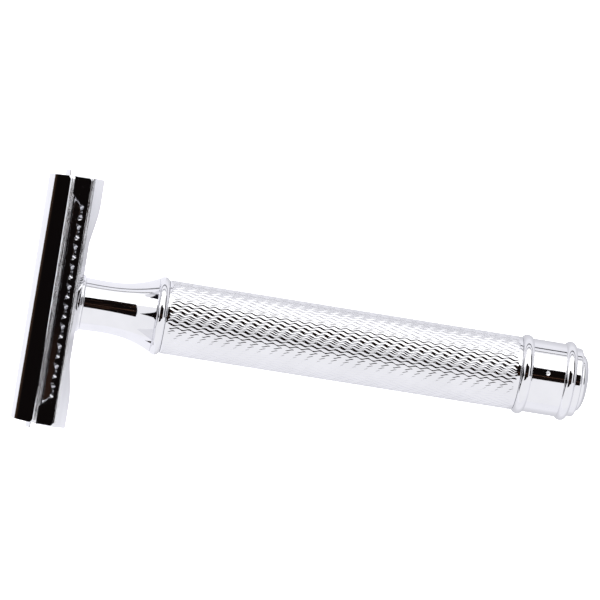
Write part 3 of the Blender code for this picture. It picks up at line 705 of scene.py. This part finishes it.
def plate_stations(half_y, edge):
    """Ring positions along the plate: close together on the notches' walls and round the windows' ends."""
    offsets = spread((0, 0.8, 0.2), (0.8, 1.1, 0.06), (1.1, 1.4, 0.03), (1.4, 0.5 * NOTCH_PITCH, 0.12))
    centres = NOTCH_PITCH * (np.arange(NOTCH_COUNT) - 0.5 * (NOTCH_COUNT - 1))
    notches = (centres[:, None] + both_ways(offsets)[None, :]).ravel()
    corner_y = half_y - PLATE_CORNER_R
    ends = both_ways(spread((15.2, 17.9, 0.09), (17.9, corner_y, 0.3), (corner_y, half_y - edge, 0.06)))
    values = np.unique(np.round(np.concatenate([notches, ends]), 4))
    return values[np.concatenate([[True], np.diff(values) > 0.015])]


# ---------------------------------------------------------------- handle

def make_neck(mat):
    """Waist, flare and collar bead; the spigot and the tapped bore are hidden inside."""
    steps = 90
    outline = [(NECK_START_X, NECK_MOUTH_R), (NECK_START_X, NECK_END_R - 0.14)]
    outline += corner(NECK_START_X + 0.13, NECK_END_R - 0.13, 0.13, 180)
    outline += [(x, NECK_WAIST_R + swell) for x, swell in NECK_SWELL]
    for k in range(steps + 1):
        part = k / steps
        outline.append((NECK_WAIST_X + part * (FLARE_END_X - NECK_WAIST_X),
                        NECK_WAIST_R + (FLARE_END_R - NECK_WAIST_R) * part ** FLARE_POWER))
    outline += arc(FLARE_END_X + 0.03, COLLAR_END_X - 0.03, FLARE_END_R - 0.12, COLLAR_PEAK_R)
    outline += [(COLLAR_END_X, GRIP_R - 0.2), (COLLAR_END_X, SPIGOT_R)]
    end = COLLAR_END_X + SPIGOT_LENGTH
    outline += [(end - 0.5, SPIGOT_R), (end, SPIGOT_R - 0.5), (end, NECK_CORE_R)]
    outline += [(NECK_CORE_END_X, NECK_CORE_R), (NECK_CORE_END_X - 0.6, 1.0), (THREAD_BORE_END_X + 0.9, 1.0)]
    tap_end = THREAD_BORE_END_X - 0.6
    major, minor = STUD_MAJOR_R + THREAD_PLAY, STUD_MINOR_R + THREAD_PLAY
    outline += [(THREAD_BORE_END_X, minor - 0.1)]
    outline += [(float(x), minor) for x in np.arange(tap_end, NECK_START_X + 0.5, -PITCH / THREAD_RINGS)]
    outline += [(NECK_START_X + 0.4, minor + 0.45)]

    def radius(x, base, angles):
        if base[0] != minor:
            return base
        return thread_radius(x, angles, major, minor)

    neck = lathe("neck_body", supported(outline, 0.03), 192, radius=radius)
    settle(neck, 48)
    return fit_out(neck, mat, "handle", "neck")


def wave_height(rows):
    """Relief of the chased rows: 0 on the broad crest, -1 in the middle of the narrow groove."""
    return -np.abs(np.sin(math.pi * rows)) ** 3


def make_grip(mat):
    """Tube whose outside carries wavy ridges that run along it, each row a quarter wave on."""
    x0, x1, edge = COLLAR_END_X + GAP, GRIP_END_X - GAP, 0.12
    start, end = x0 + WAVE_LAND_START, x1 - WAVE_LAND_END
    rows = np.arange(WAVE_SAMPLES * WAVE_ROWS) / WAVE_SAMPLES
    count = round((end - start) / WAVE_LENGTH * WAVE_RINGS)
    waves = [start + (end - start) * k / count for k in range(count + 1)]
    xs = [x0 + edge * (1 - math.cos(a)) for a in (0.0, 0.5, 1.0, 1.57)]
    rs = [GRIP_R - edge * (1 - math.sin(a)) for a in (0.0, 0.5, 1.0, 1.57)]
    outline = list(zip(xs, rs)) + [(start - 0.05, GRIP_R)]
    outline += [(x, GRIP_R) for x in waves] + [(end + 0.05, GRIP_R)]
    outline += [(x0 + x1 - x, r) for x, r in list(zip(xs, rs))[::-1]]
    outline += [(x1, GRIP_BORE_R), (x0, GRIP_BORE_R)]
    grid, relief = [], []
    for x, r in outline:
        outside = start - 1e-6 <= x <= end + 1e-6 and r > GRIP_BORE_R
        fade = min(1.0, (x - start) / WAVE_FADE, (end - x) / WAVE_FADE) if outside else 0.0
        swing = WAVE_AMPLITUDE * np.cos(2 * math.pi * x / WAVE_LENGTH + rows * 0.5 * math.pi)
        angles = 2 * math.pi * rows / WAVE_ROWS - swing / GRIP_R
        height = wave_height(rows) * fade
        radii = r + WAVE_DEPTH * height
        relief.append(height)
        grid.append(np.stack([np.full(len(rows), x), radii * np.cos(angles), radii * np.sin(angles)], 1))
    grip = grid_object("grip_chased", np.array(grid), closed=False)
    groove = grip.data.attributes.new("groove", "FLOAT", "POINT")
    groove.data.foreach_set("value", -np.array(relief, np.float32).ravel())
    settle(grip, 60)
    return fit_out(grip, mat, "handle", "grip_tube")


def make_sleeve(mat):
    spigot_x = GRIP_END_X - SPIGOT_LENGTH
    outline = [(spigot_x, SLEEVE_CORE_R), (spigot_x, SPIGOT_R - 0.5), (spigot_x + 0.5, SPIGOT_R),
               (GRIP_END_X, SPIGOT_R), (GRIP_END_X, BAND_R - 0.15)]
    outline += arc(GRIP_END_X + 0.03, BEAD_A_END_X, BAND_R - 0.02, BEAD_A_PEAK_R)
    band = np.arange(BEAD_A_END_X + 0.03, BEAD_B_X - 0.03, BAND_RING)
    outline += [(float(x), BAND_R) for x in band] + [(BEAD_B_X - 0.03, BAND_R)]
    outline += arc(BEAD_B_X, BEAD_B_END_X - 0.03, BAND_R - 0.02, BEAD_B_PEAK_R)
    outline += [(BEAD_B_END_X, BAND_R - 0.2), (BEAD_B_END_X, BUTTON_BORE_R)]
    outline += [(BEAD_B_END_X - BUTTON_SPIGOT_LENGTH - 0.3, BUTTON_BORE_R),
                (BEAD_B_END_X - BUTTON_SPIGOT_LENGTH - 1.3, SLEEVE_CORE_R)]
    middle = 0.5 * (BEAD_A_END_X + BEAD_B_X) - DOT_OFF_MIDDLE

    def radius(x, base, angles):
        if abs(x - middle) > DOT_R + 0.2 or base[0] != BAND_R:
            return base
        around = (angles - math.radians(90.0 - DOT_TURN_DEG)) * BAND_R
        away = np.hypot(around, x - middle) / DOT_R
        bowl = np.where(away < 1.0, 1.0 - away ** 2, 0.0)
        lip = np.exp(-((away - DOT_LIP_AT) / DOT_LIP_WIDTH) ** 2)
        return base - DOT_DEPTH * bowl + DOT_LIP * lip

    sleeve = lathe("pommel_sleeve_body", supported(outline, 0.03), 360, radius=radius)
    settle(sleeve, 48)
    return fit_out(sleeve, mat, "handle", "pommel_sleeve")


def make_button(mat):
    start, spigot_x = BEAD_B_END_X + GAP, BEAD_B_END_X - BUTTON_SPIGOT_LENGTH
    edge = 0.45
    outline = [(spigot_x, 0.0), (spigot_x, BUTTON_BORE_R - 0.4), (spigot_x + 0.38, BUTTON_BORE_R - GAP),
               (start, BUTTON_BORE_R - GAP), (start, BUTTON_R - 0.12)]
    outline += corner(start + 0.1, BUTTON_R - 0.1, 0.1, 180)
    outline += corner(BUTTON_STEP_X - edge, BUTTON_R - edge, edge, 90, 14)
    outline += [(BUTTON_STEP_X, DOME_R + 0.1), (BUTTON_STEP_X + 0.02, DOME_R + 0.02)]
    outline.append((BUTTON_STEP_X + 0.1, DOME_R))
    depth = TOTAL_LENGTH - BUTTON_STEP_X
    flat_part = (1 - (DOME_FLAT_R / DOME_R) ** DOME_POWER) ** (1 / DOME_POWER)
    steps = 36
    for k in range(4, steps + 1):
        part = flat_part * math.sin(0.5 * math.pi * k / steps)
        outline.append((BUTTON_STEP_X + depth * part / flat_part,
                        DOME_R * (1 - part ** DOME_POWER) ** (1 / DOME_POWER)))
    outline.append((TOTAL_LENGTH, 0.0))
    button = lathe("pommel_button_body", supported(outline, 0.03), 192)
    settle(button, 55)
    return fit_out(button, mat, "handle", "pommel_button")


# ---------------------------------------------------------------- materials

def noise(tree, coords, scale, stretch=(1, 1, 1), detail=3.0):
    """A noise value in 0..1 from object coordinates in metres."""
    mapping = tree.nodes.new("ShaderNodeMapping")
    mapping.inputs["Scale"].default_value = stretch
    tree.links.new(coords, mapping.inputs["Vector"])
    made = tree.nodes.new("ShaderNodeTexNoise")
    made.inputs["Scale"].default_value = scale
    made.inputs["Detail"].default_value = detail
    tree.links.new(mapping.outputs["Vector"], made.inputs["Vector"])
    return made.outputs["Fac"]


def remap(tree, value, low, high, from_low=0.35, from_high=0.65):
    """The value, stretched from its own range to low..high."""
    made = tree.nodes.new("ShaderNodeMapRange")
    made.inputs["From Min"].default_value = from_low
    made.inputs["From Max"].default_value = from_high
    made.inputs["To Min"].default_value = low
    made.inputs["To Max"].default_value = high
    tree.links.new(value, made.inputs["Value"])
    return made.outputs["Result"]


def blend_colors(tree, factor, first, second):
    made = tree.nodes.new("ShaderNodeMix")
    made.data_type = "RGBA"
    made.inputs[6].default_value = (*first, 1.0)
    made.inputs[7].default_value = (*second, 1.0)
    tree.links.new(factor, made.inputs[0])
    return made.outputs[2]


def multiply(tree, value, by):
    made = tree.nodes.new("ShaderNodeMath")
    made.operation = "MULTIPLY"
    tree.links.new(value, made.inputs[0])
    made.inputs[1].default_value = by
    return made.outputs[0]


def bump(tree, height, strength, distance, normal=None):
    """Surface relief; strength is a number or a socket."""
    made = tree.nodes.new("ShaderNodeBump")
    made.inputs["Distance"].default_value = distance
    if isinstance(strength, float):
        made.inputs["Strength"].default_value = strength
    else:
        tree.links.new(strength, made.inputs["Strength"])
    tree.links.new(height, made.inputs["Height"])
    if normal is not None:
        tree.links.new(normal, made.inputs["Normal"])
    return made.outputs["Normal"]


def metal(name, colors, rough, polish=(1, 1, 1), waviness=0.02, mask=None, dulling=0.0, streaks=0.0):
    """Metal whose tint, gloss and faint surface waves come from noise. polish stretches the fine
    polishing lines. Where the piece's mask attribute is 1 the metal is duller by dulling and
    carries fine lines along the blade, as strong as streaks says."""
    mat = bpy.data.materials.new(name)
    mat.use_nodes = True
    tree = mat.node_tree
    shader = tree.nodes["Principled BSDF"]
    shader.inputs["Metallic"].default_value = 1.0
    coords = tree.nodes.new("ShaderNodeTexCoord").outputs["Object"]
    cloud = noise(tree, coords, CLOUD_SCALE)
    lines = noise(tree, coords, LINE_SCALE, polish, 4.0)
    color = blend_colors(tree, remap(tree, cloud, 0.0, 1.0), *colors)
    gloss = remap(tree, lines, rough[0], rough[1])
    normal = bump(tree, cloud, waviness, CLOUD_DEPTH)
    if mask:
        where = tree.nodes.new("ShaderNodeAttribute")
        where.attribute_name = mask
        amount = where.outputs["Fac"]
        add = tree.nodes.new("ShaderNodeMath")
        add.operation = "ADD"
        tree.links.new(gloss, add.inputs[0])
        tree.links.new(multiply(tree, amount, dulling), add.inputs[1])
        gloss = add.outputs[0]
        if streaks:
            scratches = noise(tree, coords, SCRATCH_SCALE, (1, 0.03, 1), 3.0)
            normal = bump(tree, scratches, multiply(tree, amount, streaks), SCRATCH_DEPTH, normal)
    tree.links.new(color, shader.inputs["Base Color"])
    tree.links.new(gloss, shader.inputs["Roughness"])
    tree.links.new(normal, shader.inputs["Normal"])
    return mat


# ---------------------------------------------------------------- studio

def emitter(name, color, strength=1.0):
    """A plain glow."""
    return blended_emitter(name, None, (0.0, 1.0), color, color, strength)


def blended_emitter(name, measure, span, first, second, strength=1.0):
    """A glow whose colour goes from first to second over the span of a measured coordinate.
    measure(tree, x, y, z) gives that coordinate's socket; without one the glow is plain."""
    mat = bpy.data.materials.new(name)
    mat.use_nodes = True
    tree = mat.node_tree
    tree.nodes.clear()
    glow = tree.nodes.new("ShaderNodeEmission")
    glow.inputs["Color"].default_value = (*first, 1.0)
    glow.inputs["Strength"].default_value = strength
    if measure:
        coords = tree.nodes.new("ShaderNodeTexCoord").outputs["Object"]
        split = tree.nodes.new("ShaderNodeSeparateXYZ")
        tree.links.new(coords, split.inputs[0])
        where = remap(tree, measure(tree, *split.outputs), 0.0, 1.0, *span)
        tree.links.new(blend_colors(tree, where, first, second), glow.inputs["Color"])
    out = tree.nodes.new("ShaderNodeOutputMaterial")
    tree.links.new(glow.outputs[0], out.inputs[0])
    return mat


def card(name, corners, mat):
    """A flat card that only reflections see."""
    obj = mesh_object(name, corners, [tuple(range(len(corners)))])
    obj.data.materials.append(mat)
    obj.visible_camera = False
    obj.visible_diffuse = False
    obj.visible_shadow = False
    obj.visible_transmission = False
    return obj


def level_card(name, x_range, y_range, height, mat):
    """A card that lies level."""
    (x0, x1), (y0, y1) = x_range, y_range
    return card(name, [(x0, y0, height), (x1, y0, height), (x1, y1, height), (x0, y1, height)], mat)


def table_top():
    """Pale table: one sheet for the camera, and below it two that only reflections see. The one
    under the handle is dimmer near the handle's line: a painted shadow of the handle. A dark line lies
    behind the handle."""
    mat = bpy.data.materials.new("table_white")
    mat.use_nodes = True
    shader = mat.node_tree.nodes["Principled BSDF"]
    shader.inputs["Base Color"].default_value = (0.9, 0.9, 0.9, 1.0)
    shader.inputs["Roughness"].default_value = 0.9
    shader.inputs["Specular IOR Level"].default_value = 0.0
    shader.inputs["Emission Color"].default_value = (1.0, 1.0, 1.0, 1.0)
    shader.inputs["Emission Strength"].default_value = 0.92
    size = TABLE_REACH
    seen = mesh_object("table", [(-size, -size, 0), (size, -size, 0), (size, size, 0), (-size, size, 0)],
                       [(0, 1, 2, 3)])
    seen.location.z = TABLE_Z
    seen.data.materials.append(mat)
    seen.visible_glossy = False

    def from_handle(tree, x, y, z):
        """Distance from the upright plane through the handle's axis."""
        away = tree.nodes.new("ShaderNodeMath")
        away.operation = "ABSOLUTE"
        tree.links.new(y, away.inputs[0])
        return away.outputs[0]

    # Painted shadow: this glow dims from 24 mm to 6 mm off the handle's line and stands in for the handle's
    # shadow on the table, as seen in reflections.
    glow = blended_emitter("table_glow_painted_shadow", from_handle, (0.006, 0.024), (0.62, 0.62, 0.66), (0.94, 0.94, 0.99))
    level_card("table_mirrored", (HEAD_END_X, size), (-size, size), TABLE_GLOW_Z, glow)
    pale = emitter("table_pale", (1.0, 1.0, 1.06))
    level_card("table_by_head", (-size, HEAD_END_X), (-size, size), TABLE_GLOW_Z, pale)
    line = blended_emitter("table_line", lambda tree, x, y, z: x, (-0.03, 0.06), (0.28, 0.28, 0.30),
                           (0.02, 0.02, 0.025))
    level_card("table_line", (-0.5, 0.6), (0.055, 0.088), TABLE_LINE_Z, line)


def boards(tree, x, y):
    """Long soft patches along x."""
    join = tree.nodes.new("ShaderNodeCombineXYZ")
    tree.links.new(x, join.inputs[0])
    tree.links.new(multiply(tree, y, BOARD_STRETCH), join.inputs[1])
    return noise(tree, join.outputs[0], BOARD_SCALE)


def ceiling():
    """Dark beam over the razor, wider over the head, with a brown stripe below it, a white softbox
    behind it with a grey seam, a dark wall at the right and two thin lines at the back."""
    beam = blended_emitter("beam_dark", lambda tree, x, y, z: boards(tree, x, y), (0.52, 0.72),
                           NEAR_BLACK, (0.045, 0.022, 0.014))
    lower = [(-0.30, -0.20), (0.10, -0.14), (0.16, -0.085), (0.45, -0.07)]
    upper = [(0.45, 0.30), (0.16, 0.308), (0.02, 0.40), (-0.30, 0.349)]
    card("beam", [(x, y, CEILING_Z) for x, y in lower + upper], beam)
    level_card("beam_stripe", (-0.28, 0.45), (0.030, 0.041), CEILING_Z - 0.002,
               emitter("stripe_brown", (0.11, 0.055, 0.035)))
    level_card("softbox_back", (-1.2, 1.2), (0.322, 3.0), CEILING_Z + 0.01,
               emitter("card_white", (1.0, 1.0, 1.0), 1.6))
    faint = emitter("line_faint", (0.62, 0.62, 0.64))
    level_card("softbox_seam", (-0.6, 0.6), (0.585, 0.615), CEILING_Z, faint)
    (y0, y1), (z0, z1) = WALL_RIGHT_Y, WALL_RIGHT_Z
    card("wall_right", [(WALL_RIGHT_X, y0, z0), (WALL_RIGHT_X, y1, z0), (WALL_RIGHT_X, y1, z1),
                        (WALL_RIGHT_X, y0, z1)], emitter("wall_dark", (0.006, 0.006, 0.008)))
    reach = WALL_BACK_REACH
    for name, low, high, mat in (("wall_line_low", 0.055, 0.10, emitter("line_dark", (0.22, 0.22, 0.24))),
                                 ("wall_line_high", 0.345, 0.375, faint)):
        card(name, [(-reach, WALL_BACK_Y, low), (reach, WALL_BACK_Y, low), (reach, WALL_BACK_Y, high),
                    (-reach, WALL_BACK_Y, high)], mat)


def studio():
    """World, table, cards, the dark flag left of the crown, and the key light."""
    world = bpy.data.worlds.new("studio")
    bpy.context.scene.world = world
    world.use_nodes = True
    back = world.node_tree.nodes["Background"]
    back.inputs["Color"].default_value = (0.96, 0.96, 0.99, 1.0)
    back.inputs["Strength"].default_value = 1.0
    table_top()
    ceiling()
    crown = TO_WORLD @ Vector((0.0, 0.0, 0.0))
    front, back_y = FLAG_Y
    near = [crown.x - FLAG_NEAR - FLAG_SLANT * y for y in FLAG_Y]
    far = crown.x - FLAG_NEAR - FLAG_SPAN
    dark = blended_emitter("flag_dark", lambda tree, x, y, z: z, (0.0, 0.004), (0.05, 0.028, 0.018),
                           NEAR_BLACK)
    card("flag_left", [(near[0], front, 0.0), (near[1], back_y, 0.0), (far, back_y, FLAG_TOP),
                       (far, front, FLAG_TOP)], dark)
    card("flag_tip", [(far, front, FLAG_TOP), (far, back_y, FLAG_TOP), FLAG_TIP], dark)
    lamp = bpy.data.lights.new("key", "AREA")
    lamp.energy = KEY_ENERGY
    lamp.size = KEY_SIZE
    key = bpy.data.objects.new("key", lamp)
    key.location = KEY_PLACE
    bpy.context.scene.collection.objects.link(key)
    key.visible_glossy = False
    key.visible_camera = False


def camera():
    """Straight down from above the handle, turned so that the razor lies aslant in the frame."""
    data = bpy.data.cameras.new("camera")
    data.lens = CAMERA_LENS
    data.sensor_width = CAMERA_SENSOR
    data.clip_end = 10.0
    cam = bpy.data.objects.new("camera", data)
    cam.location = CAMERA_PLACE
    cam.rotation_euler = (0.0, 0.0, math.radians(CAMERA_ROLL_DEG))
    bpy.context.scene.collection.objects.link(cam)
    bpy.context.scene.camera = cam


def build():
    bright = ((0.84, 0.84, 0.86), (0.88, 0.88, 0.90))
    chrome = metal("chrome", bright, (0.030, 0.055), mask="brushed", dulling=0.10, streaks=0.5)
    chased = metal("chased_chrome", bright, (0.035, 0.060), mask="groove", dulling=0.04)
    screw = metal("plated_screw", ((0.70, 0.70, 0.71), (0.80, 0.80, 0.82)), (0.14, 0.24), waviness=0.1)
    steel = metal("blade_steel", ((0.78, 0.79, 0.81), (0.86, 0.87, 0.89)), (0.06, 0.12), (1, 0.03, 1), 0.02)
    make_cap(chrome)
    make_stud(screw)
    make_post("cap_pin_a", "cap_post_a", 1, chrome)
    make_post("cap_pin_b", "cap_post_b", -1, chrome)
    make_blade(steel)
    make_base_plate(chrome)
    make_neck(chrome)
    make_grip(chased)
    make_sleeve(chrome)
    make_button(chrome)
    studio()
    camera()
    bpy.context.scene.view_settings.view_transform = "Standard"


build()
